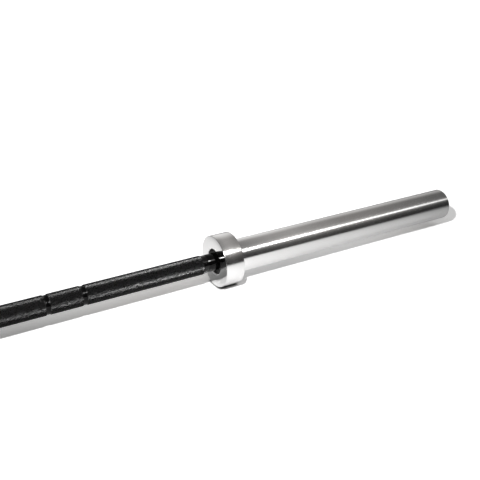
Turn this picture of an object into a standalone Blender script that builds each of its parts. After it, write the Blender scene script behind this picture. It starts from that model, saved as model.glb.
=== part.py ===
"""A men's 20 kg barbell: one knurled shaft and two sleeves that turn freely on its ends.

Metres, +Z up. The origin is the middle of the shaft, on its axis, which runs along X.
Each end is built once in its own frame: x = 0 is the collar's inner face, and x grows outwards.
"""

import math

import bmesh
import bpy
from mathutils import Matrix, Vector

# Roundness. A multiple of four flats puts one straight down, which the bar lies still on
FACETS = 32
HOLE_FACETS = 8
ARC_STEPS = 24
EAR_STEPS = 5
SMOOTH_BELOW = math.radians(25)
SAME_POINT = 1e-6

CLEARANCE = 0.0003  # gap between two pieces that touch or run together

# Shaft, between the collars. Depths are cut down from the knurl's outside
GRIP_LENGTH = 1.310
GRIP_DIAMETER = 0.0285
MIDDLE_LENGTH = 0.420  # smooth, without a centre knurl
MIDDLE_DEPTH = 0.0003
OUTER_MARK_SPAN = 0.910
MARK_SPACING = 0.050  # from the outer mark to the inner one
MARK_WIDTH = 0.0038
MARK_DEPTH = 0.0010
NECK_LENGTH = 0.0213  # smooth neck in front of the collar
NECK_DEPTH = 0.0010
KNURL_CHAMFER = 0.0011

# Shaft, inside the sleeves
SHOULDER_HEIGHT = 0.00075  # from the neck down to the journal
JOURNAL_CHAMFER = 0.0015
CENTRE_HOLE_DIAMETER = 0.006  # the lathe's centre, left in each end
CENTRE_HOLE_DEPTH = 0.005

# Sleeve: a thick tube with a collar ring fitted over its inner end
SLEEVE_DIAMETER = 0.050
SLEEVE_LENGTH = 0.415  # room for plates
SLEEVE_CHAMFER = 0.0015
CORE_ROOM = 0.0018  # round the journal, between the bushings
CAVITY_STEP = 0.0010  # the bore behind the cap is wider than the bushing's seat
CAP_STEP = 0.0012  # the cap's seat is wider again

# Collar
COLLAR_DIAMETER = 0.0775
COLLAR_THICKNESS = 0.030
COLLAR_CHAMFER = 0.0006
COLLAR_LIP = 0.006
OPENING_CHAMFER = 0.0008

# Inner end of the bearing stack
SEAL_SETBACK = 0.003
SEAL_THICKNESS = 0.004
SEAL_GROOVE_DEPTH = 0.001
WASHER_THICKNESS = 0.002
BUSHING_LENGTH = 0.040
BUSHING_WALL = 0.0039
BUSHING_CHAMFER = 0.0008
FLANGE_THICKNESS = 0.003
FLANGE_STEP = 0.0020  # the flange stands out past the barrel

# Outer end of the stack
SHAFT_RING_THICKNESS = 0.002
SHAFT_RING_DEPTH = 0.0010  # groove in the journal
RING_LAND = 0.0015  # shaft left between the two grooves
END_LAND = 0.003  # shaft left outside the last groove
CAP_SPACE = 0.012  # from the shaft's end to the cap
CAP_THICKNESS = 0.005
CAP_CHAMFER = 0.0006
CAP_RIM = 0.0070  # flat rim round the dish in the cap's face
CAP_DISH_DEPTH = 0.0008
CAP_RING_THICKNESS = 0.002
CAP_RING_DEPTH = 0.0010  # groove in the sleeve's bore
CAP_RING_SETBACK = 0.0035  # sleeve left outside the groove

# Snap rings: a band that thins towards its gap, with an ear and a plier hole at each end
RING_BAND_FAR = 0.0034
RING_BAND_NEAR = 0.0022
RING_GAP = 0.006
EAR_HEIGHT = 0.0046
EAR_FILLET = 1.6  # the band starts this many half ears past the plier hole
EAR_HOLE_DIAMETER = 0.0018

# Radii of the shaft
GRIP_R = GRIP_DIAMETER / 2
MIDDLE_R = GRIP_R - MIDDLE_DEPTH
MARK_R = GRIP_R - MARK_DEPTH
NECK_R = GRIP_R - NECK_DEPTH
JOURNAL_R = NECK_R - SHOULDER_HEIGHT
SHAFT_GROOVE_R = JOURNAL_R - SHAFT_RING_DEPTH

# Radii of what is round the journal, each from the one inside it
RUNNING_R = JOURNAL_R + CLEARANCE  # bore of whatever turns on the journal
CORE_R = JOURNAL_R + CORE_ROOM
BARREL_R = RUNNING_R + BUSHING_WALL
SEAT_R = BARREL_R + CLEARANCE
OPENING_R = SEAT_R + FLANGE_STEP  # hole in the collar's face, and the bore behind it
FIT_R = OPENING_R - CLEARANCE  # what sits in that hole
INNER_WASHER_R = FIT_R - CLEARANCE
CAVITY_R = SEAT_R + CAVITY_STEP
OUTER_WASHER_R = CAVITY_R - CLEARANCE
CAP_BORE_R = CAVITY_R + CAP_STEP
CAP_R = CAP_BORE_R - CLEARANCE
CAP_GROOVE_R = CAP_BORE_R + CAP_RING_DEPTH
SLEEVE_R = SLEEVE_DIAMETER / 2
COLLAR_R = COLLAR_DIAMETER / 2

# Stations along one end, from the collar's inner face outwards
SEAL_BACK = SEAL_SETBACK + SEAL_THICKNESS
SHOULDER = SEAL_BACK + CLEARANCE
INNER_WASHER = SHOULDER + CLEARANCE
FLANGE = INNER_WASHER + WASHER_THICKNESS + CLEARANCE
INNER_SEAT = FLANGE + FLANGE_THICKNESS + CLEARANCE
TUBE_START = COLLAR_LIP + CLEARANCE
TUBE_END = COLLAR_THICKNESS + SLEEVE_LENGTH
CAP_RING = TUBE_END - CAP_RING_SETBACK - CLEARANCE - CAP_RING_THICKNESS
CAP_FACE = CAP_RING - CLEARANCE
CAP_BACK = CAP_FACE - CAP_THICKNESS
CAP_SHOULDER = CAP_BACK - CLEARANCE
SHAFT_END = CAP_BACK - CAP_SPACE
GROOVE_WIDTH = SHAFT_RING_THICKNESS + 2 * CLEARANCE
OUTER_GROOVE = SHAFT_END - END_LAND - GROOVE_WIDTH
INNER_GROOVE = OUTER_GROOVE - RING_LAND - GROOVE_WIDTH
OUTER_WASHER = INNER_GROOVE - WASHER_THICKNESS
OUTER_BUSHING_END = OUTER_WASHER - CLEARANCE
OUTER_BUSHING = OUTER_BUSHING_END - BUSHING_LENGTH
OUTER_SEAT = OUTER_BUSHING - CLEARANCE


def finish(name, colour, roughness, metallic):
    """A plain surface: its colour, how rough it is and whether it is bare metal."""
    material = bpy.data.materials.new(name)
    material.use_nodes = True
    shader = material.node_tree.nodes["Principled BSDF"]
    shader.inputs["Base Color"].default_value = (*colour, 1.0)
    shader.inputs["Roughness"].default_value = roughness
    shader.inputs["Metallic"].default_value = metallic
    material.diffuse_color = (*colour, 1.0)
    return material


def mesh_of(name, build, material):
    """A mesh from one bmesh function, its faces turned outwards and its round sides shaded smooth."""
    mesh = bpy.data.meshes.new(name)
    shape = bmesh.new()
    build(shape)
    bmesh.ops.recalc_face_normals(shape, faces=shape.faces)
    shape.to_mesh(mesh)
    shape.free()
    mesh.shade_smooth()
    mesh.set_sharp_from_angle(angle=SMOOTH_BELOW)
    mesh.materials.append(material)
    return mesh


def turned(profile):
    """Returns a function that spins a closed outline of (x, radius) points about the X axis.

    The outline starts half a facet off straight down, so that a flat faces the floor. A radius is
    measured to the middle of the flats, so opposite flats are a true diameter apart.
    """

    def build(shape):
        tilt = Matrix.Rotation(math.pi / FACETS, 3, "X")
        reach = 1 / math.cos(math.pi / FACETS)
        corners = [shape.verts.new(tilt @ Vector((x, 0, -r * reach))) for x, r in profile]
        edges = []
        for pair in zip(corners, corners[1:] + corners[:1]):
            if max(corner.co.yz.length for corner in pair) > SAME_POINT:
                edges.append(shape.edges.new(pair))
        bmesh.ops.spin(
            shape,
            geom=corners + edges,
            cent=(0, 0, 0),
            axis=(1, 0, 0),
            angle=2 * math.pi,
            steps=FACETS,
            use_merge=True,
        )
        bmesh.ops.remove_doubles(shape, verts=shape.verts, dist=SAME_POINT)

    return build


def place(name, mesh, parent, x=0.0):
    """One piece, its origin on the bar's axis and x metres along its end's frame."""
    piece = bpy.data.objects.new(name, mesh)
    bpy.context.scene.collection.objects.link(piece)
    piece.parent = parent
    piece.location.x = x
    return piece


def knurl_band(start, end, radius_before, radius_after):
    """Outline points of one raised band, chamfered up from what is before it and down to what follows."""
    return [
        (start, radius_before),
        (start + KNURL_CHAMFER, GRIP_R),
        (end - KNURL_CHAMFER, GRIP_R),
        (end, radius_after),
    ]


def shaft_profile():
    """The whole shaft's outline: one half is drawn from the middle out, and the other mirrors it."""
    mark = MARK_WIDTH / 2
    half_grip = GRIP_LENGTH / 2
    outer_mark = OUTER_MARK_SPAN / 2
    inner_mark = outer_mark - MARK_SPACING
    half = []
    half += knurl_band(MIDDLE_LENGTH / 2, inner_mark - mark, MIDDLE_R, MARK_R)
    half += knurl_band(inner_mark + mark, outer_mark - mark, MARK_R, MARK_R)
    half += knurl_band(outer_mark + mark, half_grip - NECK_LENGTH, MARK_R, NECK_R)
    half += [(half_grip + SHOULDER, NECK_R), (half_grip + SHOULDER, JOURNAL_R)]
    for groove in (INNER_GROOVE, OUTER_GROOVE):
        start = half_grip + groove
        end = start + GROOVE_WIDTH
        half += [(start, JOURNAL_R), (start, SHAFT_GROOVE_R), (end, SHAFT_GROOVE_R), (end, JOURNAL_R)]
    tip = half_grip + SHAFT_END
    hole_r = CENTRE_HOLE_DIAMETER / 2
    half += [(tip - JOURNAL_CHAMFER, JOURNAL_R), (tip, JOURNAL_R - JOURNAL_CHAMFER)]
    half += [(tip, hole_r), (tip - CENTRE_HOLE_DEPTH, 0.0)]
    return half + [(-x, r) for x, r in reversed(half)]


def collar_profile():
    """A ring with a lip at its inner face, which the tube's end is pushed up to."""
    tube_bore = SLEEVE_R + CLEARANCE
    return [
        (0.0, OPENING_R + OPENING_CHAMFER),
        (0.0, COLLAR_R - COLLAR_CHAMFER),
        (COLLAR_CHAMFER, COLLAR_R),
        (COLLAR_THICKNESS - COLLAR_CHAMFER, COLLAR_R),
        (COLLAR_THICKNESS, COLLAR_R - COLLAR_CHAMFER),
        (COLLAR_THICKNESS, tube_bore),
        (COLLAR_LIP, tube_bore),
        (COLLAR_LIP, OPENING_R),
        (OPENING_CHAMFER, OPENING_R),
    ]


def tube_profile():
    """The sleeve's tube: bored through, with a seat for each bushing, and wider at the cap's end."""
    groove_start = CAP_RING - CLEARANCE
    groove_end = CAP_RING + CAP_RING_THICKNESS + CLEARANCE
    return [
        (TUBE_START, SLEEVE_R),
        (TUBE_END - SLEEVE_CHAMFER, SLEEVE_R),
        (TUBE_END, SLEEVE_R - SLEEVE_CHAMFER),
        (TUBE_END, CAP_BORE_R),
        (groove_end, CAP_BORE_R),
        (groove_end, CAP_GROOVE_R),
        (groove_start, CAP_GROOVE_R),
        (groove_start, CAP_BORE_R),
        (CAP_SHOULDER, CAP_BORE_R),
        (CAP_SHOULDER, CAVITY_R),
        (OUTER_BUSHING_END, CAVITY_R),
        (OUTER_BUSHING_END, SEAT_R),
        (OUTER_SEAT, SEAT_R),
        (OUTER_SEAT, CORE_R),
        (INNER_SEAT + BUSHING_LENGTH, CORE_R),
        (INNER_SEAT + BUSHING_LENGTH, SEAT_R),
        (INNER_SEAT, SEAT_R),
        (INNER_SEAT, OPENING_R),
        (TUBE_START, OPENING_R),
    ]


def seal_profile():
    """A rubber ring with a groove round its face, which leaves a lip against the neck."""
    bore = NECK_R + CLEARANCE
    third = (FIT_R - bore) / 3
    return [
        (0.0, bore),
        (0.0, bore + third),
        (SEAL_GROOVE_DEPTH, bore + third),
        (SEAL_GROOVE_DEPTH, FIT_R - third),
        (0.0, FIT_R - third),
        (0.0, FIT_R),
        (SEAL_THICKNESS, FIT_R),
        (SEAL_THICKNESS, bore),
    ]


def washer_profile(outer_r):
    """A flat thrust washer with the journal's running bore."""
    return [
        (0.0, RUNNING_R),
        (0.0, outer_r),
        (WASHER_THICKNESS, outer_r),
        (WASHER_THICKNESS, RUNNING_R),
    ]


def inner_bushing_profile():
    """A flanged bronze bushing. Its flange takes the push of the sleeve against the shaft's shoulder."""
    end = FLANGE_THICKNESS + BUSHING_LENGTH
    return [
        (0.0, RUNNING_R),
        (0.0, FIT_R),
        (FLANGE_THICKNESS, FIT_R),
        (FLANGE_THICKNESS, BARREL_R),
        (end - BUSHING_CHAMFER, BARREL_R),
        (end, BARREL_R - BUSHING_CHAMFER),
        (end, RUNNING_R),
    ]


def outer_bushing_profile():
    """A plain bronze bushing, chamfered where it enters its seat."""
    return [
        (0.0, RUNNING_R),
        (0.0, BARREL_R - BUSHING_CHAMFER),
        (BUSHING_CHAMFER, BARREL_R),
        (BUSHING_LENGTH, BARREL_R),
        (BUSHING_LENGTH, RUNNING_R),
    ]


def cap_profile():
    """A round cap with a shallow dish in its outer face."""
    dish_r = CAP_R - CAP_RIM
    floor_x = CAP_THICKNESS - CAP_DISH_DEPTH
    return [
        (0.0, 0.0),
        (0.0, CAP_R - CAP_CHAMFER),
        (CAP_CHAMFER, CAP_R),
        (CAP_THICKNESS - CAP_CHAMFER, CAP_R),
        (CAP_THICKNESS, CAP_R - CAP_CHAMFER),
        (CAP_THICKNESS, dish_r),
        (floor_x, dish_r - CAP_DISH_DEPTH),
        (floor_x, 0.0),
    ]


def polar(radius, angle):
    """A point in the ring's plane, its angle counted from straight up."""
    return Vector((0, radius * math.sin(angle), radius * math.cos(angle)))


def ear_centre(seat_r, side):
    """Radius and angle of one ear's plier hole, which is also the centre of its round end."""
    radius = seat_r + side * EAR_HEIGHT / 2
    angle = RING_GAP / 2 / seat_r + math.asin(EAR_HEIGHT / 2 / radius)
    return radius, angle


def ring_outline(seat_r, side):
    """Outline of a snap ring that seats at seat_r: side 1 has its band and ears outside, -1 inside."""
    gap = RING_GAP / 2 / seat_r
    ear_r = EAR_HEIGHT / 2
    hole_radius, hole_angle = ear_centre(seat_r, side)
    centre = polar(hole_radius, hole_angle)
    outward = side * polar(1.0, hole_angle)
    away = polar(1.0, hole_angle + math.pi / 2)
    ear = []
    for step in range(EAR_STEPS + 1):
        turn = math.pi * step / EAR_STEPS
        ear.append(centre + ear_r * (math.sin(turn) * outward - math.cos(turn) * away))
    seat = [polar(seat_r, gap + (2 * math.pi - 2 * gap) * k / ARC_STEPS) for k in range(ARC_STEPS + 1)]
    start = hole_angle + EAR_FILLET * math.asin(ear_r / hole_radius)
    band = []
    for k in range(ARC_STEPS + 1):
        angle = start + (2 * math.pi - 2 * start) * k / ARC_STEPS
        swell = (1 - math.cos(angle)) / 2
        width = RING_BAND_NEAR + (RING_BAND_FAR - RING_BAND_NEAR) * swell
        band.append(polar(seat_r + side * width, angle))
    mirrored = [Vector((0, -p.y, p.z)) for p in reversed(ear)]
    return ear + band + mirrored + seat[::-1]


def snap_ring(seat_r, side, thickness):
    """Returns a function that makes one flat snap ring, from x = 0 to its thickness."""

    def build(shape):
        face = shape.faces.new([shape.verts.new(p) for p in ring_outline(seat_r, side)])
        pushed = bmesh.ops.extrude_face_region(shape, geom=[face])
        moved = [v for v in pushed["geom"] if isinstance(v, bmesh.types.BMVert)]
        bmesh.ops.translate(shape, verts=moved, vec=(thickness, 0, 0))

    return build


def plier_holes(seat_r, side, thickness):
    """Returns a function that makes the two pins that cut a snap ring's holes."""

    def build(shape):
        radius, angle = ear_centre(seat_r, side)
        for turn in (angle, -angle):
            spot = Matrix.Translation(polar(radius, turn) + Vector((thickness / 2, 0, 0)))
            bmesh.ops.create_cone(
                shape,
                cap_ends=True,
                segments=HOLE_FACETS,
                radius1=EAR_HOLE_DIAMETER / 2,
                radius2=EAR_HOLE_DIAMETER / 2,
                depth=3 * thickness,
                matrix=spot @ Matrix.Rotation(math.pi / 2, 4, "Y"),
            )

    return build


def drilled_ring_mesh(name, seat_r, side, thickness, material):
    """A snap ring with its two plier holes cut, as a finished mesh that its copies share."""
    pin_name = name + "_pins"
    ring = place(name, mesh_of(name, snap_ring(seat_r, side, thickness), material), None)
    pins = place(pin_name, mesh_of(pin_name, plier_holes(seat_r, side, thickness), material), None)
    cut = ring.modifiers.new("plier_holes", "BOOLEAN")
    cut.operation = "DIFFERENCE"
    cut.object = pins
    bpy.context.view_layer.update()
    drilled = bpy.data.meshes.new_from_object(ring.evaluated_get(bpy.context.evaluated_depsgraph_get()))
    drilled.name = name
    bpy.data.objects.remove(ring)
    bpy.data.objects.remove(pins)
    return drilled


def end_frame(name, direction):
    """An empty on the bar's axis at one collar's inner face, its X axis pointing out along that end."""
    frame = bpy.data.objects.new(name, None)
    bpy.context.scene.collection.objects.link(frame)
    frame.location.x = direction * GRIP_LENGTH / 2
    frame.rotation_euler.z = 0.0 if direction > 0 else math.pi
    return frame


def main():
    for old in list(bpy.data.objects):
        bpy.data.objects.remove(old)

    black_steel = finish("black_oxide_steel", (0.025, 0.025, 0.027), 0.38, 0.85)
    bright_steel = finish("bright_turned_steel", (0.72, 0.72, 0.73), 0.22, 1.0)
    bronze = finish("oiled_bronze", (0.55, 0.36, 0.16), 0.35, 1.0)
    spring_steel = finish("spring_steel", (0.10, 0.10, 0.11), 0.40, 1.0)
    rubber = finish("black_rubber", (0.02, 0.02, 0.02), 0.75, 0.0)

    place("shaft", mesh_of("shaft", turned(shaft_profile()), black_steel), None)

    collar = mesh_of("collar", turned(collar_profile()), bright_steel)
    tube = mesh_of("sleeve_tube", turned(tube_profile()), bright_steel)
    seal = mesh_of("dust_seal", turned(seal_profile()), rubber)
    inner_washer = mesh_of("inner_washer", turned(washer_profile(INNER_WASHER_R)), spring_steel)
    outer_washer = mesh_of("outer_washer", turned(washer_profile(OUTER_WASHER_R)), spring_steel)
    inner_bushing = mesh_of("inner_bushing", turned(inner_bushing_profile()), bronze)
    outer_bushing = mesh_of("outer_bushing", turned(outer_bushing_profile()), bronze)
    cap = mesh_of("end_cap", turned(cap_profile()), bright_steel)
    shaft_ring = drilled_ring_mesh(
        "shaft_snap_ring", SHAFT_GROOVE_R + CLEARANCE, 1, SHAFT_RING_THICKNESS, spring_steel
    )
    cap_ring = drilled_ring_mesh(
        "cap_snap_ring", CAP_GROOVE_R - CLEARANCE, -1, CAP_RING_THICKNESS, spring_steel
    )

    for side, direction in (("left", -1), ("right", 1)):
        fixed = end_frame(side + "_shaft_end", direction)
        place(side + "_inner_thrust_washer", inner_washer, fixed, INNER_WASHER)
        place(side + "_outer_thrust_washer", outer_washer, fixed, OUTER_WASHER)
        place(side + "_shaft_snap_ring_inner", shaft_ring, fixed, INNER_GROOVE + CLEARANCE)
        place(side + "_shaft_snap_ring_outer", shaft_ring, fixed, OUTER_GROOVE + CLEARANCE)

        turning = end_frame(side + "_sleeve_axis", direction)
        place(side + "_collar", collar, turning)
        place(side + "_sleeve_tube", tube, turning)
        place(side + "_dust_seal", seal, turning, SEAL_SETBACK)
        place(side + "_inner_bushing", inner_bushing, turning, FLANGE)
        place(side + "_outer_bushing", outer_bushing, turning, OUTER_BUSHING)
        place(side + "_end_cap", cap, turning, CAP_BACK)
        place(side + "_end_cap_snap_ring", cap_ring, turning, CAP_RING)


main()
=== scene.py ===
import math

import bmesh
import bpy
from mathutils import Matrix, Vector


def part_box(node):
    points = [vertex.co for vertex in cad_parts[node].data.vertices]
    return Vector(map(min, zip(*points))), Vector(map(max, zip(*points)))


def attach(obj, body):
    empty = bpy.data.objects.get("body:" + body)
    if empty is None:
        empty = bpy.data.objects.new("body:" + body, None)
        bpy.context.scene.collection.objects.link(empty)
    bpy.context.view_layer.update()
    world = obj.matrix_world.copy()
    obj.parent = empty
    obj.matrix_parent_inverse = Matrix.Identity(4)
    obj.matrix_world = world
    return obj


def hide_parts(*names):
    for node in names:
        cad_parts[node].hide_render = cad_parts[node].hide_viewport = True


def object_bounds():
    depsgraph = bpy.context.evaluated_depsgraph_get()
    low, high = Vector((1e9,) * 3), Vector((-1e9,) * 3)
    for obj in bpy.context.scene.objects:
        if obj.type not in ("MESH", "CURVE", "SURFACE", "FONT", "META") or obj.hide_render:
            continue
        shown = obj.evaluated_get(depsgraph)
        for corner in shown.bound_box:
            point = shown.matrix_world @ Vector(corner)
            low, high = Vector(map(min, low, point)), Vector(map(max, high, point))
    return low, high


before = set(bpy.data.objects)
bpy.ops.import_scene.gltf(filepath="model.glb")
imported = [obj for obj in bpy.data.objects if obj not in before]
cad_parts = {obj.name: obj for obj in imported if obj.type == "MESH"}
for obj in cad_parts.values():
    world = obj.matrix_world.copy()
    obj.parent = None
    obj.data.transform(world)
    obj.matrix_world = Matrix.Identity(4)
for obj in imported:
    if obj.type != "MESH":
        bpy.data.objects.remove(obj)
CAD_BOX = [list(corner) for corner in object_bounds()]

# The photograph's place. The camera looks down on the right half of the bar from its grip side,
# so that the collar's inner face and the top of the sleeve show.
CAMERA_PLACE = Vector((0.2099, -0.8441, 0.4836))
CAMERA_AIM = Vector((0.70871, 0.01726, 0.01528))
CAMERA_LENS = 54.69

camera = bpy.data.objects.new("camera", bpy.data.cameras.new("camera"))
bpy.context.scene.collection.objects.link(camera)
camera.data.lens = CAMERA_LENS
camera.location = CAMERA_PLACE
camera.rotation_euler = (CAMERA_AIM - CAMERA_PLACE).to_track_quat("-Z", "Y").to_euler()
bpy.context.scene.camera = camera
bpy.context.scene.view_settings.view_transform = "Standard"

# The floor: white paper that the bar lies on. The camera sees it white, with the lamp's shadows lifted
# pale by painted light and a painted shade where metal touches it. In the metal its light is painted:
# brightest under the collars, dimmer towards the grip and the sleeves' ends, with a painted glow in
# the bar's own shadow. The pairs are a place in metres and the grey or colour there.
FLOOR_HEIGHT = CAD_BOX[0][2]
FLOOR_SIZE = 16.0
FLOOR_COLOUR = 0.97
FLOOR_IN_VIEW = 1.12  # the same paper for the camera
# Painted shade: the paper is darker in light that comes off it by way of the metal, so the shade under the
# bar is deeper.
PAINTED_SHADE_BOUNCED = 0.35  # and for light that comes off the paper, by way of the metal
# Painted light: the paper's grey as only the metal sees it, falling off along the bar; the second table is
# for the paper behind the bar.
PAINTED_FLOOR_LIGHT_ALONG = (
    (-1.80, 0.10), (-1.35, 0.18), (-1.20, 0.36), (-1.02, 0.55), (-0.87, 0.70), (-0.70, 0.86),
    (-0.60, 0.60), (-0.42, 0.40), (-0.20, 0.20), (-0.05, 0.12), (0.10, 0.12), (0.30, 0.22),
    (0.42, 0.40), (0.55, 0.52), (0.585, 0.58), (0.60, 0.60), (0.64, 0.72), (0.68, 0.96),
    (0.72, 0.86), (0.76, 0.79), (0.80, 0.75), (0.87, 0.70), (0.95, 0.62), (1.02, 0.55),
    (1.12, 0.43), (1.20, 0.36), (1.35, 0.18), (1.80, 0.10),
)
PAINTED_FLOOR_LIGHT_BEHIND = (
    (-1.80, 0.10), (-1.35, 0.20), (-1.12, 0.55), (-0.70, 0.80), (-0.55, 0.50), (-0.30, 0.35),
    (0.30, 0.35), (0.55, 0.45), (0.585, 0.80), (0.60, 0.84), (0.64, 1.00), (0.66, 0.90),
    (0.70, 0.76), (0.80, 0.72), (0.95, 0.62), (1.12, 0.55), (1.20, 0.45), (1.35, 0.20), (1.80, 0.10),
)
BEHIND_BAR = ((0.03, 0.0), (0.07, 1.0))
# Painted light: a glow that only the metal sees on the paper in the bar's own shadow, by place along and
# across the bar.
PAINTED_SHADE_GLOW_ALONG = (
    (0.64, 0.0), (0.66, 0.1), (0.67, 0.50), (0.695, 0.45), (0.73, 0.30), (0.95, 0.33),
    (1.08, 0.22), (1.16, 0.0),
)
PAINTED_SHADE_GLOW_ACROSS = ((-0.02, 0.0), (0.0, 1.0), (0.055, 1.0), (0.07, 0.0))
# Painted light: a glow that only the camera sees, lifting the lamp's shadows to a pale, slightly warm grey,
# by place along the bar.
PAINTED_SHADOW_LIFT = (
    (0.34, (0.0, 0.0, 0.0)), (0.365, (0.012, 0.012, 0.008)), (0.42, (0.070, 0.070, 0.064)),
    (0.50, (0.135, 0.130, 0.122)), (0.60, (0.140, 0.132, 0.124)), (0.66, (0.17, 0.165, 0.160)),
    (0.72, (0.205, 0.205, 0.205)), (0.78, (0.205, 0.205, 0.205)), (0.90, (0.265, 0.265, 0.262)),
    (0.95, (0.245, 0.243, 0.239)), (1.02, (0.205, 0.201, 0.195)), (1.06, (0.150, 0.147, 0.142)),
    (1.10, (0.095, 0.092, 0.088)), (1.16, (0.070, 0.068, 0.065)),
)
FAR_ACROSS = ((-0.5, 0.7), (-0.12, 0.0), (0.12, 0.0), (0.5, 0.7))
FAR_ALONG = ((-1.5, 0.7), (-0.3, 0.0), (1.19, 0.0), (1.8, 0.7))
# Painted shade: the paper's colour darkens where metal comes within this reach of it.
PAINTED_CONTACT_SHADE_REACH = 0.0045
PAINTED_CONTACT_SHADE_DEPTH = 2.6
PAINTED_CONTACT_SHADE_SAMPLES = 16


def add(tree, kind, values=None, links=None, **settings):
    """One node, with its settings, the values on its sockets and what feeds them."""
    node = tree.nodes.new(kind)
    for key, value in settings.items():
        setattr(node, key, value)
    for key, value in (values or {}).items():
        node.inputs[key].default_value = value
    for key, source in (links or {}).items():
        tree.links.new(source, node.inputs[key])
    return node


def ramp(tree, source, stops):
    """A curve of greys or colours over source, its stops given in the source's own unit."""
    low, high = stops[0][0], stops[-1][0]
    span = add(tree, "ShaderNodeMapRange", {"From Min": low, "From Max": high}, {"Value": source})
    node = add(tree, "ShaderNodeValToRGB", links={"Fac": span.outputs["Result"]})
    elements = node.color_ramp.elements
    while len(elements) > 1:
        elements.remove(elements[0])
    for index, (place, shade) in enumerate(stops):
        position = (place - low) / (high - low)
        element = elements[0] if index == 0 else elements.new(position)
        element.position = position
        colour = shade if isinstance(shade, tuple) else (shade, shade, shade)
        element.color = (*colour, 1.0)
    return node.outputs["Color"]


def mix(tree, factor, first, second, blend="MIX"):
    """A colour mixed from two, each a socket or a plain grey or colour."""
    node = add(tree, "ShaderNodeMix", data_type="RGBA", blend_type=blend)
    for index, source in ((0, factor), (6, first), (7, second)):
        if isinstance(source, bpy.types.NodeSocket):
            tree.links.new(source, node.inputs[index])
        elif index == 0:
            node.inputs[index].default_value = source
        else:
            colour = source if isinstance(source, tuple) else (source, source, source)
            node.inputs[index].default_value = (*colour, 1.0)
    return node.outputs[2]


def empty_material(name):
    """A material with an empty tree and its output node."""
    material = bpy.data.materials.new(name)
    material.use_nodes = True
    material.node_tree.nodes.clear()
    return material, material.node_tree, add(material.node_tree, "ShaderNodeOutputMaterial")


paper, tree, output = empty_material("white_paper")
place = add(tree, "ShaderNodeTexCoord").outputs["Object"]
axes = add(tree, "ShaderNodeSeparateXYZ", links={"Vector": place}).outputs
along, across = axes["X"], axes["Y"]
rays = add(tree, "ShaderNodeLightPath").outputs
# Painted shade at contact: an occlusion test darkens the paper's colour where metal is close.
air = add(tree, "ShaderNodeAmbientOcclusion", {"Distance": PAINTED_CONTACT_SHADE_REACH}, samples=PAINTED_CONTACT_SHADE_SAMPLES)
air = air.outputs["AO"]
clear = add(tree, "ShaderNodeMath", {1: PAINTED_CONTACT_SHADE_DEPTH}, {0: air}, operation="POWER").outputs[0]
# Painted light: the metal sees the paper in a grey that falls off along the bar.
painted_light_in_metal = mix(
    tree, ramp(tree, across, BEHIND_BAR), ramp(tree, along, PAINTED_FLOOR_LIGHT_ALONG),
    ramp(tree, along, PAINTED_FLOOR_LIGHT_BEHIND),
)
# Painted shade: after a diffuse bounce the metal sees the paper darker.
bounced = add(tree, "ShaderNodeMath", {1: 0.5}, {0: rays["Diffuse Depth"]}, operation="GREATER_THAN")
painted_light_in_metal = mix(tree, bounced.outputs[0], painted_light_in_metal, PAINTED_SHADE_BOUNCED)
colour = mix(tree, rays["Is Glossy Ray"], FLOOR_COLOUR, painted_light_in_metal)
colour = mix(tree, rays["Is Camera Ray"], colour, mix(tree, clear, 0.0, FLOOR_IN_VIEW))
lit = add(tree, "ShaderNodeBsdfDiffuse", links={"Color": colour})
# Painted light: the camera's glow lifts the shadows but not the painted contact shade, and keeps the paper
# white far from the bar.
shadow = mix(tree, clear, 0.0, ramp(tree, along, PAINTED_SHADOW_LIFT))
shadow = mix(tree, 1.0, shadow, ramp(tree, across, FAR_ACROSS), "ADD")
shadow = mix(tree, 1.0, shadow, ramp(tree, along, FAR_ALONG), "ADD")
# Painted light: the glow that only the metal sees in the bar's shadow.
shade = mix(tree, ramp(tree, across, PAINTED_SHADE_GLOW_ACROSS), 0.0, ramp(tree, along, PAINTED_SHADE_GLOW_ALONG))
shade = mix(tree, rays["Is Glossy Ray"], 0.0, shade)
glow = add(tree, "ShaderNodeEmission", links={"Color": mix(tree, rays["Is Camera Ray"], shade, shadow)})
both = add(tree, "ShaderNodeAddShader", links={0: lit.outputs[0], 1: glow.outputs[0]})
tree.links.new(both.outputs[0], output.inputs["Surface"])

half = FLOOR_SIZE / 2
floor_mesh = bpy.data.meshes.new("floor")
corners = [(x, y, FLOOR_HEIGHT) for x, y in ((-half, -half), (half, -half), (half, half), (-half, half))]
floor_mesh.from_pydata(corners, [], [(0, 1, 2, 3)])
floor_mesh.materials.append(paper)
floor = bpy.data.objects.new("floor", floor_mesh)
bpy.context.scene.collection.objects.link(floor)

# The light. A small lamp over the grip, on the camera's side, throws the crisp shadows, and a white
# studio fills them. In the metal the studio is a grey ceiling with one long strip of light in it. Its
# angles go from straight up towards the camera's side, and its other pairs from left (-1) to right (1).
LAMP_PLACE = Vector((0.400, -0.428, 0.565))
LAMP_POWER = 40.0
LAMP_RADIUS = 0.016
FILL = 0.88
FILL_FALL = 2.0
BACKDROP = 1.0
CEILING = (
    (-180, 0.75), (-92, 0.92), (-70, 0.85), (-56, 0.68), (-44, 0.51), (-34, 0.385), (-25, 0.355),
    (5, 0.37), (18, 0.45), (26, 0.72), (42, 0.60), (50, 0.34), (60, 0.15), (70, 0.095), (80, 0.060),
    (90, 0.050), (96, 0.5), (180, 0.60),
)
CEILING_ALONG = (
    (-0.90, 0.60), (-0.30, 0.36), (-0.12, 0.12), (0.14, 0.12), (0.24, 0.28), (0.29, 0.38),
    (0.36, (0.92, 0.90, 0.88)), (0.42, (1.25, 1.22, 1.19)), (0.46, (1.03, 1.00, 0.97)),
    (0.49, (0.76, 0.74, 0.72)), (0.52, (0.62, 0.60, 0.58)), (0.56, (0.61, 0.59, 0.57)),
    (0.60, (0.69, 0.67, 0.65)), (0.667, (0.43, 0.42, 0.41)), (0.80, 0.25),
)
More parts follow.
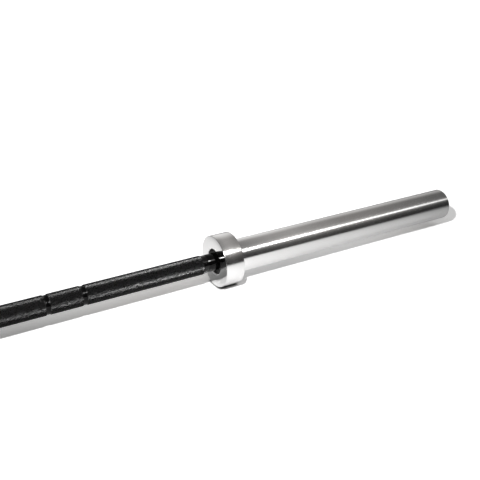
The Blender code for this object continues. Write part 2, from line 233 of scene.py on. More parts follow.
CEILING_ALONG_BEHIND = (
    (0.36, (0.91, 0.90, 0.89)), (0.42, (1.23, 1.22, 1.21)), (0.48, (0.91, 0.90, 0.89)),
    (0.54, (0.71, 0.70, 0.69)), (0.60, (0.83, 0.82, 0.81)), (0.667, (0.63, 0.62, 0.61)), (0.80, 0.40),
)
BEHIND_ANGLES = ((-60, 1.0), (-35, 0.0))
BEHIND_ALONG = ((0.20, 0.0), (0.36, 1.0))
STRIP_ANGLES = ((30.0, 0.0), (34.0, 1.0), (39.0, 1.0), (45.0, 0.0))
STRIP_ALONG = (
    (-0.80, 0.05), (-0.50, 0.15), (-0.43, 1.3), (-0.33, 1.3), (-0.26, 1.9), (-0.20, 1.3),
    (-0.15, 0.3), (-0.09, 0.05), (-0.04, 0.004), (0.23, 0.004), (0.26, 0.26), (0.315, 0.26),
    (0.35, 0.01), (0.400, 0.04), (0.406, 0.10), (0.411, 0.40), (0.416, 0.35), (0.422, 0.13),
    (0.44, 0.09), (0.46, 0.06), (0.48, 0.040), (0.54, 0.024), (0.60, 0.024), (0.667, 0.040),
    (0.80, 0.008),
)
STRIP_STRENGTH = 46.0

lamp = bpy.data.objects.new("lamp", bpy.data.lights.new("lamp", "POINT"))
bpy.context.scene.collection.objects.link(lamp)
lamp.data.energy = LAMP_POWER
lamp.data.shadow_soft_size = LAMP_RADIUS
lamp.location = LAMP_PLACE
lamp.data.use_nodes = True
tree = lamp.data.node_tree
tree.nodes.clear()
even = add(tree, "ShaderNodeLightFalloff", {"Strength": 1.0}).outputs["Constant"]
beam = add(tree, "ShaderNodeEmission", links={"Strength": even})
add(tree, "ShaderNodeOutputLight", links={"Surface": beam.outputs[0]})

studio = bpy.data.worlds.new("studio")
bpy.context.scene.world = studio
studio.use_nodes = True
tree = studio.node_tree
tree.nodes.clear()
direction = add(tree, "ShaderNodeTexCoord").outputs["Generated"]
axes = add(tree, "ShaderNodeSeparateXYZ", links={"Vector": direction}).outputs
along = axes["X"]
front = add(tree, "ShaderNodeMath", {1: -1.0}, {0: axes["Y"]}, operation="MULTIPLY").outputs[0]
turn = add(tree, "ShaderNodeMath", links={0: front, 1: axes["Z"]}, operation="ARCTAN2").outputs[0]
angle = add(tree, "ShaderNodeMath", links={0: turn}, operation="DEGREES").outputs[0]
behind = mix(tree, ramp(tree, along, BEHIND_ALONG), 0.0, ramp(tree, angle, BEHIND_ANGLES))
tone = mix(tree, behind, ramp(tree, along, CEILING_ALONG), ramp(tree, along, CEILING_ALONG_BEHIND))
ceiling = mix(tree, 1.0, ramp(tree, angle, CEILING), tone, "MULTIPLY")
strip = mix(tree, 1.0, ramp(tree, angle, STRIP_ANGLES), STRIP_STRENGTH, "MULTIPLY")
strip = mix(tree, 1.0, strip, ramp(tree, along, STRIP_ALONG), "MULTIPLY")
overhead = add(tree, "ShaderNodeMath", {1: FILL_FALL}, {0: axes["Z"]}, operation="POWER").outputs[0]
fill = add(tree, "ShaderNodeMath", {1: FILL}, {0: overhead}, operation="MULTIPLY").outputs[0]
rays = add(tree, "ShaderNodeLightPath").outputs
seen = mix(tree, rays["Is Glossy Ray"], fill, mix(tree, 1.0, ceiling, strip, "ADD"))
seen = mix(tree, rays["Is Camera Ray"], seen, BACKDROP)
background = add(tree, "ShaderNodeBackground", links={"Color": seen})
add(tree, "ShaderNodeOutputWorld", links={"Surface": background.outputs[0]})

# The shaft: one bar of spring steel, ground round, with smooth rings cut at the plate-lifter's
# marks and a smooth neck at each end. Inside each sleeve it steps down to a 25 mm journal, with
# two grooves for snap rings and the lathe's centre in its end. It has a satin black oxide finish.
HALF_GRIP = 0.655
GRIP_RADIUS = 0.01425
TOOTH_HEIGHT = 0.00042
KNURL_ROOT = GRIP_RADIUS - TOOTH_HEIGHT
MIDDLE_RADIUS = 0.01395
MARK_RADIUS = 0.01325
MARK_HALF_WIDTH = 0.0019
NECK_RADIUS = 0.01325
KNURL_START = 0.210
INNER_MARK = 0.405
OUTER_MARK = 0.455
KNURL_END = 0.6337
KNURL_CHAMFER = 0.0011
SHOULDER = HALF_GRIP + 0.0073
JOURNAL_RADIUS = 0.0125
GROOVE_RADIUS = 0.0115
GROOVES = (HALF_GRIP + 0.4105, HALF_GRIP + 0.4146)
GROOVE_WIDTH = 0.0026
TIP_CHAMFER = 0.0015
CENTRE_RADIUS = 0.003
CENTRE_DEPTH = 0.005
SHAFT_STEPS = 128
EDGE_SOFTNESS = 0.0002
LONGEST_CURVE = 0.45  # of an edge, where the edge is short
SHARP_ANGLE = math.radians(40)
SAME_POINT = 1e-7
OXIDE_IOR = 1.38
OXIDE_TONES = ((0.0005, 0.0005, 0.0005), (0.002, 0.002, 0.002))


def soften(outline, radius, steps=3):
    """A closed outline of (x, radius) points with every corner rounded by a small curve."""
    smooth = []
    for before, corner, after in zip([outline[-1]] + outline, outline, outline[1:] + outline[:1]):
        before, corner, after = Vector(before), Vector(corner), Vector(after)
        if corner.y < SAME_POINT:
            smooth.append(corner)
            continue
        arms = [(end - corner).normalized() * min(radius, (end - corner).length * LONGEST_CURVE)
                for end in (before, after)]
        for step in range(steps + 1):
            t = step / steps
            smooth.append(corner + arms[0] * (1 - t) ** 2 + arms[1] * t ** 2)
    return smooth


def finished(name, mesh, material):
    """A mesh in its material, smooth but for its sharp edges, as an object of the scene."""
    mesh.materials.clear()
    mesh.materials.append(material)
    mesh.shade_smooth()
    mesh.set_sharp_from_angle(angle=SHARP_ANGLE)
    piece = bpy.data.objects.new(name, mesh)
    bpy.context.scene.collection.objects.link(piece)
    return piece


def turned_piece(name, outline, steps, material, sign=1, softness=EDGE_SOFTNESS):
    """One piece turned on a lathe: a closed outline of (x, radius) points spun about the bar's axis.

    With sign -1 the outline is first turned over to the left half of the bar.
    """
    shape = bmesh.new()
    rings = []
    for x, radius in soften([(sign * x, radius) for x, radius in outline], softness):
        if radius < SAME_POINT:
            rings.append([shape.verts.new((x, 0, 0))] * steps)
            continue
        angles = [2 * math.pi * step / steps for step in range(steps)]
        rings.append([shape.verts.new((x, radius * math.sin(a), radius * math.cos(a))) for a in angles])
    for one, other in zip(rings, rings[1:] + rings[:1]):
        if one[0] is one[1] and other[0] is other[1]:
            continue
        for step in range(steps):
            after = (step + 1) % steps
            loop = list(dict.fromkeys((one[step], one[after], other[after], other[step])))
            shape.faces.new(loop)
    bmesh.ops.recalc_face_normals(shape, faces=shape.faces)
    mesh = bpy.data.meshes.new(name)
    shape.to_mesh(mesh)
    shape.free()
    return finished(name, mesh, material)


def fit(piece, body, slot, *nodes):
    """A finished piece rides on its body and stands for CAD nodes, which it hides. Its slot is not used."""
    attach(piece, body)
    if nodes:
        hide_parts(*nodes)


def lathe_lines(tree, pitch, drift):
    """Fine lines round a turned piece: they follow the axis on its sides and the radius on its faces.

    Returns the lines, the distance from the bar's axis, and the place on the piece.
    """
    place = add(tree, "ShaderNodeTexCoord").outputs["Object"]
    axes = add(tree, "ShaderNodeSeparateXYZ", links={"Vector": place}).outputs
    across = add(tree, "ShaderNodeCombineXYZ", links={"Y": axes["Y"], "Z": axes["Z"]}).outputs[0]
    radius = add(tree, "ShaderNodeVectorMath", links={0: across}, operation="LENGTH").outputs["Value"]
    along = add(tree, "ShaderNodeMath", links={0: axes["X"], 1: radius}, operation="ADD")
    fine = add(tree, "ShaderNodeMath", {1: 1 / pitch}, {0: along.outputs[0]}, operation="MULTIPLY")
    slow = add(tree, "ShaderNodeVectorMath", {"Scale": drift}, {0: across}, operation="SCALE")
    point = add(tree, "ShaderNodeSeparateXYZ", links={"Vector": slow.outputs[0]}).outputs
    stretched = add(
        tree, "ShaderNodeCombineXYZ", links={"X": fine.outputs[0], "Y": point["Y"], "Z": point["Z"]}
    )
    return spots(tree, stretched.outputs[0], scale=1.0, detail=2.0), radius, place


def spots(tree, place, scale, detail):
    """A noise over a piece, for its stains, dust, pores and clouds."""
    values = {"Scale": scale, "Detail": detail}
    return add(tree, "ShaderNodeTexNoise", values, {"Vector": place}).outputs["Fac"]


def between(tree, noise, low, high):
    """A value that goes from low to high as a noise goes through its middle."""
    return ramp(tree, noise, ((0.3, low), (0.7, high)))


def bumped(tree, height, strength, depth):
    """A normal that follows a height."""
    values = {"Strength": strength, "Distance": depth}
    return add(tree, "ShaderNodeBump", values, {"Height": height}).outputs["Normal"]


def surface(tree, output, values, links):
    """The surface itself, joined to the output."""
    shader = add(tree, "ShaderNodeBsdfPrincipled", values, links)
    tree.links.new(shader.outputs[0], output.inputs["Surface"])


black_oxide, tree, output = empty_material("black_oxide")
lines, radius, place = lathe_lines(tree, pitch=0.0005, drift=25.0)
surface(
    tree, output,
    {"IOR": OXIDE_IOR},
    {"Base Color": mix(tree, spots(tree, place, scale=90.0, detail=4.0), *OXIDE_TONES),
     "Roughness": between(tree, lines, 0.05, 0.09),
     "Normal": bumped(tree, lines, strength=0.08, depth=0.00005)},
)

half_shaft = [
    (KNURL_START - KNURL_CHAMFER, MIDDLE_RADIUS),
    (KNURL_START, KNURL_ROOT), (INNER_MARK - MARK_HALF_WIDTH - KNURL_CHAMFER, KNURL_ROOT),
    (INNER_MARK - MARK_HALF_WIDTH, MARK_RADIUS), (INNER_MARK + MARK_HALF_WIDTH, MARK_RADIUS),
    (INNER_MARK + MARK_HALF_WIDTH + KNURL_CHAMFER, KNURL_ROOT),
    (OUTER_MARK - MARK_HALF_WIDTH - KNURL_CHAMFER, KNURL_ROOT),
    (OUTER_MARK - MARK_HALF_WIDTH, MARK_RADIUS), (OUTER_MARK + MARK_HALF_WIDTH, MARK_RADIUS),
    (OUTER_MARK + MARK_HALF_WIDTH + KNURL_CHAMFER, KNURL_ROOT), (KNURL_END - KNURL_CHAMFER, KNURL_ROOT),
    (KNURL_END, NECK_RADIUS), (SHOULDER, NECK_RADIUS), (SHOULDER, JOURNAL_RADIUS),
]
for start in GROOVES:
    half_shaft += [
        (start, JOURNAL_RADIUS), (start, GROOVE_RADIUS),
        (start + GROOVE_WIDTH, GROOVE_RADIUS), (start + GROOVE_WIDTH, JOURNAL_RADIUS),
    ]
shaft_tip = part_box("shaft")[1].x
half_shaft += [
    (shaft_tip - TIP_CHAMFER, JOURNAL_RADIUS), (shaft_tip, JOURNAL_RADIUS - TIP_CHAMFER),
    (shaft_tip, CENTRE_RADIUS), (shaft_tip - CENTRE_DEPTH, 0.0),
]
shaft_outline = half_shaft + [(-x, radius) for x, radius in reversed(half_shaft)]
shaft = turned_piece("shaft_bar", shaft_outline, SHAFT_STEPS, black_oxide)
fit(shaft, "shaft", "shaft_steel", "shaft")

# The knurl: rows of small steel pyramids that two rolls press into the shaft, crossing at thirty
# degrees to its length, for the hands to hold. Three bands on each half lie between the smooth
# middle, the two ring marks and the neck. They are part of the shaft's own steel.
TEETH_ROUND = 96
TOOTH_LENGTH = 0.0017
TOOTH_SPREAD = 0.40
BAND_DEPTH = 0.0003
CLOSE_POINTS = 1e-5
WORN_FROM = 0.01405
WORN_FULLY = 0.01420
WORN_COLOUR = (0.02, 0.0198, 0.0194)
KNURL_TONES = ((0.0005, 0.0005, 0.0005), (0.003, 0.003, 0.003))
BANDS = (
    ("inner", KNURL_START, INNER_MARK - MARK_HALF_WIDTH - KNURL_CHAMFER),
    ("middle", INNER_MARK + MARK_HALF_WIDTH + KNURL_CHAMFER, OUTER_MARK - MARK_HALF_WIDTH - KNURL_CHAMFER),
    ("outer", OUTER_MARK + MARK_HALF_WIDTH + KNURL_CHAMFER, KNURL_END - KNURL_CHAMFER),
)
SIDES = (("left", -1), ("right", 1))

worn_oxide, tree, output = empty_material("knurled_black_oxide")
lines, radius, place = lathe_lines(tree, pitch=0.0005, drift=25.0)
blotches = spots(tree, place, scale=140.0, detail=5.0)
tips = ramp(tree, radius, ((WORN_FROM, 0.0), (WORN_FULLY, 1.0)))
rubbed = mix(tree, 1.0, tips, ramp(tree, blotches, ((0.40, 0.0), (0.62, 1.0))), "MULTIPLY")
grit = spots(tree, place, scale=520.0, detail=2.0)
surface(
    tree, output,
    {"IOR": OXIDE_IOR},
    {"Base Color": mix(tree, rubbed, mix(tree, blotches, *KNURL_TONES), WORN_COLOUR),
     "Roughness": ramp(tree, grit, ((0.35, 0.20), (0.65, 0.50)))},
)


def knurl_tree():
    """Geometry Nodes for one band: a sheet of points rolled round the axis, every other one a tooth's tip."""
    tree = bpy.data.node_groups.new("knurl_band", "GeometryNodeTree")
    sockets = tree.interface
    sockets.new_socket("Geometry", in_out="OUTPUT", socket_type="NodeSocketGeometry")
    for name, kind in (
        ("Start", "NodeSocketFloat"), ("Length", "NodeSocketFloat"), ("Root Radius", "NodeSocketFloat"),
        ("Tooth Height", "NodeSocketFloat"), ("Tooth Spread", "NodeSocketFloat"),
        ("Teeth Round", "NodeSocketInt"), ("Tooth Length", "NodeSocketFloat"),
        ("Seed", "NodeSocketInt"), ("Material", "NodeSocketMaterial"),
    ):
        sockets.new_socket(name, in_out="INPUT", socket_type=kind)
    given = tree.nodes.new("NodeGroupInput").outputs

    def number(operation, *terms):
        """One sum over plain numbers and sockets."""
        node = add(tree, "ShaderNodeMath", operation=operation)
        for index, term in enumerate(terms):
            if isinstance(term, (int, float)):
                node.inputs[index].default_value = term
            else:
                tree.links.new(term, node.inputs[index])
        return node.outputs[0]

    columns = number("ADD", number("MULTIPLY", given["Teeth Round"], 2), 1)
    rows = number("ROUND", number("DIVIDE", given["Length"], number("MULTIPLY", given["Tooth Length"], 0.5)))
    rows = number("ADD", rows, 1)
    sheet = add(
        tree, "GeometryNodeMeshGrid", {"Size Y": 1.0},
        {"Size X": given["Length"], "Vertices X": rows, "Vertices Y": columns},
    )
    index = add(tree, "GeometryNodeInputIndex").outputs[0]
    row = number("FLOOR", number("DIVIDE", number("ADD", index, 0.5), columns))
    column = number("SUBTRACT", index, number("MULTIPLY", row, columns))
    tip = number("MODULO", number("ADD", row, column), 2)
    inside = number(
        "MULTIPLY", number("GREATER_THAN", row, 0.5),
        number("LESS_THAN", row, number("SUBTRACT", rows, 1.5)),
    )
    mark = number("MODULO", column, number("SUBTRACT", columns, 1))
    mark = number("ADD", number("MULTIPLY", row, columns), mark)
    least = number("SUBTRACT", 1, given["Tooth Spread"])
    uneven = add(
        tree, "FunctionNodeRandomValue", {"Max": 1.0}, {"Min": least, "ID": mark, "Seed": given["Seed"]}
    )
    height = number("MULTIPLY", number("MULTIPLY", tip, inside), given["Tooth Height"])
    height = number("MULTIPLY", height, uneven.outputs["Value"])
    radius = number("ADD", given["Root Radius"], height)
    spot = add(tree, "GeometryNodeInputPosition").outputs[0]
    spot = add(tree, "ShaderNodeSeparateXYZ", links={0: spot}).outputs
    half_length = number("MULTIPLY", given["Length"], 0.5)
    x = number("ADD", number("ADD", spot["X"], half_length), given["Start"])
    angle = number("MULTIPLY", number("ADD", spot["Y"], 0.5), 2 * math.pi)
    rolled = add(tree, "ShaderNodeCombineXYZ", links={
        "X": x, "Y": number("MULTIPLY", radius, number("SINE", angle)),
        "Z": number("MULTIPLY", radius, number("COSINE", angle)),
    })
    placed = add(tree, "GeometryNodeSetPosition", links={
        "Geometry": sheet.outputs["Mesh"], "Position": rolled.outputs[0],
    })
    closed = add(
        tree, "GeometryNodeMergeByDistance", {"Distance": CLOSE_POINTS}, {"Geometry": placed.outputs[0]}
    )
    cut = add(tree, "GeometryNodeTriangulate", links={0: closed.outputs[0]}, quad_method="SHORTEST_DIAGONAL")
    real = add(tree, "GeometryNodeRealizeInstances", links={"Geometry": cut.outputs[0]})
    done = add(tree, "GeometryNodeSetMaterial", links={
        "Geometry": real.outputs[0], "Material": given["Material"],
    })
    end = tree.nodes.new("NodeGroupOutput")
    tree.links.new(done.outputs[0], end.inputs[0])
    return tree


def plain_mesh(holder):
    """The mesh that an object's curve or its modifiers come to."""
    bpy.context.view_layer.update()
    graph = bpy.context.evaluated_depsgraph_get()
    return bpy.data.meshes.new_from_object(holder.evaluated_get(graph))


def made_by(tree, name, **values):
    """The plain mesh that a Geometry Nodes tree makes from these inputs, as one object."""
    holder = bpy.data.objects.new(name, bpy.data.meshes.new(name + "_start"))
    bpy.context.scene.collection.objects.link(holder)
    modifier = holder.modifiers.new("shape", "NODES")
    modifier.node_group = tree
    for item in tree.interface.items_tree:
        if item.in_out == "INPUT":
            modifier[item.identifier] = values[item.name.lower().replace(" ", "_")]
    mesh = plain_mesh(holder)
    holder.modifiers.remove(modifier)
    holder.data = mesh
    mesh.name = name
    return holder


def backed(piece, inner_radius):
    """Turns a band's open skin into a closed ring, with a wall inside that lies in the shaft."""
    shape = bmesh.new()
    shape.from_mesh(piece.data)
    rims = [edge for edge in shape.edges if edge.is_boundary]
    drawn = bmesh.ops.extrude_edge_only(shape, edges=rims)["geom"]
    inner = [item for item in drawn if isinstance(item, bmesh.types.BMVert)]
    for corner in inner:
        across = corner.co.yz.normalized() * inner_radius
        corner.co = (corner.co.x, across.x, across.y)
    loops = [edge for edge in shape.edges if edge.is_boundary]
    bmesh.ops.bridge_loops(shape, edges=loops)
    bmesh.ops.recalc_face_normals(shape, faces=shape.faces)
    shape.to_mesh(piece.data)
    shape.free()


knurl = knurl_tree()
for side, sign in SIDES:
    for seed, (name, start, end) in enumerate(BANDS):
        band = made_by(
            knurl, side + "_knurl_" + name, start=min(sign * start, sign * end), length=end - start,
            root_radius=KNURL_ROOT, tooth_height=TOOTH_HEIGHT, tooth_spread=TOOTH_SPREAD,
            teeth_round=TEETH_ROUND, tooth_length=TOOTH_LENGTH, seed=seed, material=worn_oxide,
        )
        backed(band, KNURL_ROOT - BAND_DEPTH)
        fit(band, "shaft", "shaft_steel")

# The sleeves: thick steel tubes that the plates slide on, turned, plated and polished bright. Each
# is bored for its two bushings and opened out at its end for the cap and the snap ring that holds it.
SLEEVE_RADIUS = 0.025
SLEEVE_STEPS = 160
SLEEVE_END = HALF_GRIP + 0.445
TUBE_START = HALF_GRIP + 0.0063
END_CHAMFER = 0.0015
OPENING_RADIUS = 0.019
SEAT_RADIUS = 0.017
CORE_RADIUS = 0.0143
CAVITY_RADIUS = 0.018
CAP_BORE_RADIUS = 0.0192
CAP_GROOVE_RADIUS = 0.0202
RUNNING_GAP = 0.0003
BUSHING_LENGTH = 0.040
FLANGE_THICKNESS = 0.003
STEEL_TONES = ((0.80, 0.792, 0.785), (0.88, 0.875, 0.87))
STEEL_CLOUDS = ((0.78, 0.775, 0.77), (0.90, 0.90, 0.90))
CLOUDS_SHARE = 0.35
FACE_FROM = 0.90
FACE_FULLY = 0.98

bright_steel, tree, output = empty_material("bright_turned_steel")
lines, radius, place = lathe_lines(tree, pitch=0.0004, drift=6.0)
clouds = spots(tree, place, scale=35.0, detail=3.0)
tone = mix(tree, CLOUDS_SHARE, mix(tree, lines, *STEEL_TONES), mix(tree, clouds, *STEEL_CLOUDS))
sides = mix(tree, 0.5, between(tree, lines, 0.12, 0.24), between(tree, clouds, 0.14, 0.22))
normal = add(tree, "ShaderNodeTexCoord").outputs["Normal"]
facing = add(tree, "ShaderNodeSeparateXYZ", links={"Vector": normal}).outputs["X"]
facing = add(tree, "ShaderNodeMath", links={0: facing}, operation="ABSOLUTE").outputs[0]
faced = ramp(tree, facing, ((FACE_FROM, 0.0), (FACE_FULLY, 1.0)))
surface(
    tree, output,
    {"Metallic": 1.0, "Specular Tint": (0.80, 0.80, 0.80, 1.0), "Anisotropic": 0.5,
     "Anisotropic Rotation": 0.25},
    {"Base Color": tone, "Roughness": mix(tree, faced, sides, between(tree, lines, 0.05, 0.10)),
     "Normal": bumped(tree, lines, strength=0.10, depth=0.00004),
     "Tangent": add(tree, "ShaderNodeTangent", direction_type="RADIAL", axis="X").outputs[0]},
)


def reach(node):
    """How far from the bar's middle a node starts and ends, along the bar."""
    return sorted(abs(corner.x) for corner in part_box(node))


for side, sign in SIDES:
    ring_near, ring_far = reach(side + "_end_cap_snap_ring")
    cap_back = reach(side + "_end_cap")[0]
    inner_seat = reach(side + "_inner_bushing")[0] + FLANGE_THICKNESS + RUNNING_GAP
    outer_start, outer_end = reach(side + "_outer_bushing")
    outline = [
        (TUBE_START, SLEEVE_RADIUS), (SLEEVE_END - END_CHAMFER, SLEEVE_RADIUS),
        (SLEEVE_END, SLEEVE_RADIUS - END_CHAMFER), (SLEEVE_END, CAP_BORE_RADIUS),
        (ring_far + RUNNING_GAP, CAP_BORE_RADIUS), (ring_far + RUNNING_GAP, CAP_GROOVE_RADIUS),
        (ring_near - RUNNING_GAP, CAP_GROOVE_RADIUS), (ring_near - RUNNING_GAP, CAP_BORE_RADIUS),
        (cap_back - RUNNING_GAP, CAP_BORE_RADIUS), (cap_back - RUNNING_GAP, CAVITY_RADIUS),
        (outer_end, CAVITY_RADIUS), (outer_end, SEAT_RADIUS),
        (outer_start - RUNNING_GAP, SEAT_RADIUS), (outer_start - RUNNING_GAP, CORE_RADIUS),
        (inner_seat + BUSHING_LENGTH, CORE_RADIUS), (inner_seat + BUSHING_LENGTH, SEAT_RADIUS),
        (inner_seat, SEAT_RADIUS), (inner_seat, OPENING_RADIUS), (TUBE_START, OPENING_RADIUS),
    ]
    sleeve = turned_piece(side + "_sleeve", outline, SLEEVE_STEPS, bright_steel, sign)
    fit(sleeve, side + "_sleeve", "sleeve_steel", side + "_sleeve_tube")

# The collars: heavy steel rings fitted over the inner ends of the tubes, which the plates stop
# against. Their faces are faced off on the lathe and polished like the sleeve, and the hole round
# the neck has a small bright chamfer.
COLLAR_RADIUS = 0.03875
COLLAR_THICKNESS = 0.030
COLLAR_CHAMFER = 0.0004
COLLAR_BACK_CHAMFER = 0.0009
COLLAR_LIP = 0.006
COLLAR_STEPS = 192
COLLAR_SOFTNESS = 0.00015
OPENING_CHAMFER = 0.0008

for side, sign in SIDES:
    outer_face = HALF_GRIP + COLLAR_THICKNESS
    tube_bore = SLEEVE_RADIUS + RUNNING_GAP
    outline = [
        (HALF_GRIP, OPENING_RADIUS + OPENING_CHAMFER), (HALF_GRIP, COLLAR_RADIUS - COLLAR_CHAMFER),
        (HALF_GRIP + COLLAR_CHAMFER, COLLAR_RADIUS), (outer_face - COLLAR_BACK_CHAMFER, COLLAR_RADIUS),
        (outer_face, COLLAR_RADIUS - COLLAR_BACK_CHAMFER), (outer_face, tube_bore),
        (HALF_GRIP + COLLAR_LIP, tube_bore), (HALF_GRIP + COLLAR_LIP, OPENING_RADIUS),
        (HALF_GRIP + OPENING_CHAMFER, OPENING_RADIUS),
    ]
    collar = turned_piece(
        side + "_collar_ring", outline, COLLAR_STEPS, bright_steel, sign, softness=COLLAR_SOFTNESS
    )
    fit(collar, side + "_sleeve", "sleeve_steel", side + "_collar")

# The dust seals: black rubber rings, each set just inside a collar's opening. A groove in the face
# leaves a lip round the neck, which keeps chalk and dust out of the bushing.
SEAL_STEPS = 96
SEAL_GROOVE = 0.001
FIT_RADIUS = OPENING_RADIUS - RUNNING_GAP
RUBBER_TONES = ((0.010, 0.010, 0.010), (0.040, 0.039, 0.037))

rubber, tree, output = empty_material("seal_rubber")
place = add(tree, "ShaderNodeTexCoord").outputs["Object"]
dust = spots(tree, place, scale=160.0, detail=4.0)
surface(
    tree, output,
    {"IOR": 1.45},
    {"Base Color": mix(tree, dust, *RUBBER_TONES), "Roughness": between(tree, dust, 0.45, 0.68),
     "Normal": bumped(tree, dust, strength=0.2, depth=0.00008)},
)

for side, sign in SIDES:
    near, far = reach(side + "_dust_seal")
    bore = NECK_RADIUS + RUNNING_GAP
    lip = bore + (FIT_RADIUS - bore) / 3
    rim = FIT_RADIUS - (FIT_RADIUS - bore) / 3
    outline = [
        (near, bore), (near, lip), (near + SEAL_GROOVE, lip), (near + SEAL_GROOVE, rim), (near, rim),
        (near, FIT_RADIUS), (far, FIT_RADIUS), (far, bore),
    ]
    seal = turned_piece(side + "_seal_ring", outline, SEAL_STEPS, rubber, sign)
    fit(seal, side + "_sleeve", "seal_rubber", side + "_dust_seal")

# The bushings: turned bronze, soaked with oil and pressed into the sleeve's bore. The inner one has
# a flange, which takes the push of the sleeve against the shaft's shoulder.
BUSHING_STEPS = 96
BUSHING_BORE = JOURNAL_RADIUS + RUNNING_GAP
BARREL_RADIUS = SEAT_RADIUS - RUNNING_GAP
BUSHING_CHAMFER = 0.0008
BRONZE_TONES = ((0.60, 0.40, 0.20), (0.42, 0.27, 0.13))
PORE_COLOUR = (0.12, 0.07, 0.03)

bronze, tree, output = empty_material("oiled_bronze")
lines, radius, place = lathe_lines(tree, pitch=0.0004, drift=20.0)
pores = ramp(tree, spots(tree, place, scale=900.0, detail=3.0), ((0.30, 1.0), (0.38, 0.0)))
oil = spots(tree, place, scale=60.0, detail=3.0)
surface(
    tree, output,
    {"Metallic": 1.0},
    {"Base Color": mix(tree, pores, mix(tree, oil, *BRONZE_TONES), PORE_COLOUR),
     "Roughness": between(tree, oil, 0.24, 0.42),
     "Normal": bumped(tree, lines, strength=0.15, depth=0.00004)},
)

for side, sign in SIDES:
    near, far = reach(side + "_inner_bushing")
    outline = [
        (near, BUSHING_BORE), (near, FIT_RADIUS), (near + FLANGE_THICKNESS, FIT_RADIUS),
        (near + FLANGE_THICKNESS, BARREL_RADIUS), (far - BUSHING_CHAMFER, BARREL_RADIUS),
        (far, BARREL_RADIUS - BUSHING_CHAMFER), (far, BUSHING_BORE),
    ]
    bushing = turned_piece(side + "_flanged_bushing", outline, BUSHING_STEPS, bronze, sign)
    fit(bushing, side + "_sleeve", "bushing_bronze", side + "_inner_bushing")
    near, far = reach(side + "_outer_bushing")
    outline = [
        (near, BUSHING_BORE), (near, BARREL_RADIUS - BUSHING_CHAMFER),
        (near + BUSHING_CHAMFER, BARREL_RADIUS), (far, BARREL_RADIUS), (far, BUSHING_BORE),
    ]
    bushing = turned_piece(side + "_plain_bushing", outline, BUSHING_STEPS, bronze, sign)
    fit(bushing, side + "_sleeve", "bushing_bronze", side + "_outer_bushing")

# The thrust washers: flat rings of hardened steel, ground on both faces and blued by their oil. They
# float on the journal: one lies against its shoulder, one between a bushing and the snap rings.
WASHER_RADII = (("inner", FIT_RADIUS - RUNNING_GAP), ("outer", CAVITY_RADIUS - RUNNING_GAP))
SPRING_TONES = ((0.07, 0.072, 0.080), (0.17, 0.165, 0.160))

spring_steel, tree, output = empty_material("dark_spring_steel")
lines, radius, place = lathe_lines(tree, pitch=0.0005, drift=60.0)
stain = spots(tree, place, scale=110.0, detail=4.0)
surface(
    tree, output,
    {"Metallic": 1.0},
    {"Base Color": mix(tree, stain, *SPRING_TONES), "Roughness": between(tree, stain, 0.26, 0.40),
     "Normal": bumped(tree, lines, strength=0.15, depth=0.00004)},
)

for side, sign in SIDES:
    for which, washer_radius in WASHER_RADII:
        node = side + "_" + which + "_thrust_washer"
        near, far = reach(node)
        outline = [(near, BUSHING_BORE), (near, washer_radius), (far, washer_radius), (far, BUSHING_BORE)]
        washer = turned_piece(node + "_ring", outline, BUSHING_STEPS, spring_steel, sign)
        fit(washer, "shaft", "spring_steel", node)

# The snap rings: stamped spring steel, thinner towards the gap, with a plier hole in the ear at each
# end. Two grip the shaft's grooves from outside, and a third springs out into the sleeve's groove.
RING_BAND_FAR = 0.0034
RING_BAND_NEAR = 0.0022
RING_GAP = 0.006
RING_EDGE = 0.00012
EAR_RADIUS = 0.0023
EAR_FILLET = 1.6
PLIER_HOLE_RADIUS = 0.0009
RING_STEPS = 96
EAR_STEPS = 16


def ring_point(radius, turn):
    """A point in a snap ring's plane, its turn counted from straight up."""
    return Vector((radius * math.sin(turn), radius * math.cos(turn), 0))


def ring_curve(seat, way):
    """A snap ring's flat outline and its two holes. Way is 1 with the band outside its seat, -1 inside."""
    gap = RING_GAP / 2 / seat
    hole_at = seat + way * EAR_RADIUS
    hole_turn = gap + math.asin(EAR_RADIUS / hole_at)
    centre = ring_point(hole_at, hole_turn)
    outward = ring_point(way, hole_turn)
    away = ring_point(1, hole_turn + math.pi / 2)
    ear = []
    for step in range(EAR_STEPS + 1):
        turn = math.pi * step / EAR_STEPS
        ear.append(centre + EAR_RADIUS * (math.sin(turn) * outward - math.cos(turn) * away))
    start = hole_turn + EAR_FILLET * math.asin(EAR_RADIUS / hole_at)
    band = []
    for step in range(RING_STEPS + 1):
        turn = start + (2 * math.pi - 2 * start) * step / RING_STEPS
        width = RING_BAND_NEAR + (RING_BAND_FAR - RING_BAND_NEAR) * (1 - math.cos(turn)) / 2
        band.append(ring_point(seat + way * width, turn))
    other_ear = [Vector((-p.x, p.y, 0)) for p in reversed(ear)]
    inside = [
        ring_point(seat, 2 * math.pi - gap - (2 * math.pi - 2 * gap) * step / RING_STEPS)
        for step in range(RING_STEPS + 1)
    ]
    loops = [ear + band + other_ear + inside]
    for spot in (centre, Vector((-centre.x, centre.y, 0))):
        turns = [2 * math.pi * step / EAR_STEPS for step in range(EAR_STEPS)]
        loops.append([spot + ring_point(PLIER_HOLE_RADIUS, turn) for turn in turns])
    return loops


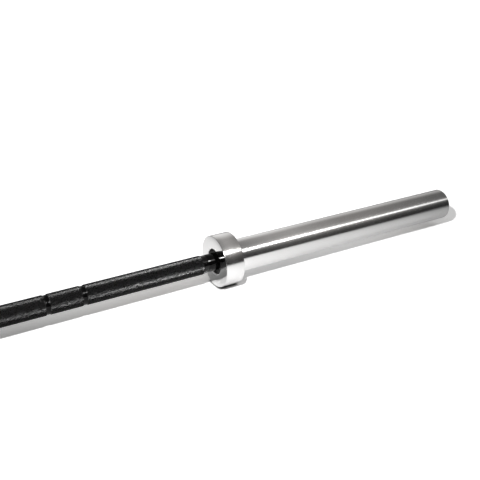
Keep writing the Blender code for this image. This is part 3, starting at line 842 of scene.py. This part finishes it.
def stamped_ring(node, loops, sign):
    """A flat ring cut from sheet, as thick as its node: made solid, its edges rounded, set along the bar."""
    near, far = reach(node)
    name = node + "_stamped"
    curve = bpy.data.curves.new(name, "CURVE")
    curve.dimensions = "2D"
    curve.fill_mode = "BOTH"
    curve.extrude = (far - near) / 2 - RING_EDGE
    curve.bevel_depth = RING_EDGE
    curve.offset = -RING_EDGE
    curve.bevel_resolution = 1
    for loop in loops:
        spline = curve.splines.new("POLY")
        kept = [p for p, q in zip(loop, loop[1:] + loop[:1]) if (p - q).length > SAME_POINT]
        spline.points.add(len(kept) - 1)
        for point, place in zip(spline.points, kept):
            point.co = (*place, 1.0)
        spline.use_cyclic_u = True
    holder = bpy.data.objects.new(name, curve)
    bpy.context.scene.collection.objects.link(holder)
    mesh = plain_mesh(holder)
    bpy.data.objects.remove(holder)
    middle = sign * (near + far) / 2
    mesh.transform(Matrix(((0, 0, 1, middle), (1, 0, 0, 0), (0, 1, 0, 0), (0, 0, 0, 1))))
    shape = bmesh.new()
    shape.from_mesh(mesh)
    bmesh.ops.remove_doubles(shape, verts=shape.verts, dist=SAME_POINT)
    bmesh.ops.recalc_face_normals(shape, faces=shape.faces)
    shape.to_mesh(mesh)
    shape.free()
    return finished(name, mesh, spring_steel)


for side, sign in SIDES:
    for which in ("inner", "outer"):
        node = side + "_shaft_snap_ring_" + which
        ring = stamped_ring(node, ring_curve(GROOVE_RADIUS + RUNNING_GAP, 1), sign)
        fit(ring, "shaft", "spring_steel", node)
    node = side + "_end_cap_snap_ring"
    ring = stamped_ring(node, ring_curve(CAP_GROOVE_RADIUS - RUNNING_GAP, -1), sign)
    fit(ring, side + "_sleeve", "spring_steel", node)

# The end caps: plain steel discs with a shallow dish turned in their faces, bright like the sleeve.
# Each sits against a step in the bore, and its snap ring holds it there.
CAP_RADIUS = CAP_BORE_RADIUS - RUNNING_GAP
CAP_CHAMFER = 0.0006
CAP_RIM = 0.0070
CAP_DISH = 0.0008
CAP_STEPS = 128

for side, sign in SIDES:
    near, far = reach(side + "_end_cap")
    dish = CAP_RADIUS - CAP_RIM
    outline = [
        (near, 0.0), (near, CAP_RADIUS - CAP_CHAMFER), (near + CAP_CHAMFER, CAP_RADIUS),
        (far - CAP_CHAMFER, CAP_RADIUS), (far, CAP_RADIUS - CAP_CHAMFER), (far, dish),
        (far - CAP_DISH, dish - CAP_DISH), (far - CAP_DISH, 0.0),
    ]
    cap = turned_piece(side + "_cap_disc", outline, CAP_STEPS, bright_steel, sign)
    fit(cap, side + "_sleeve", "sleeve_steel", side + "_end_cap")
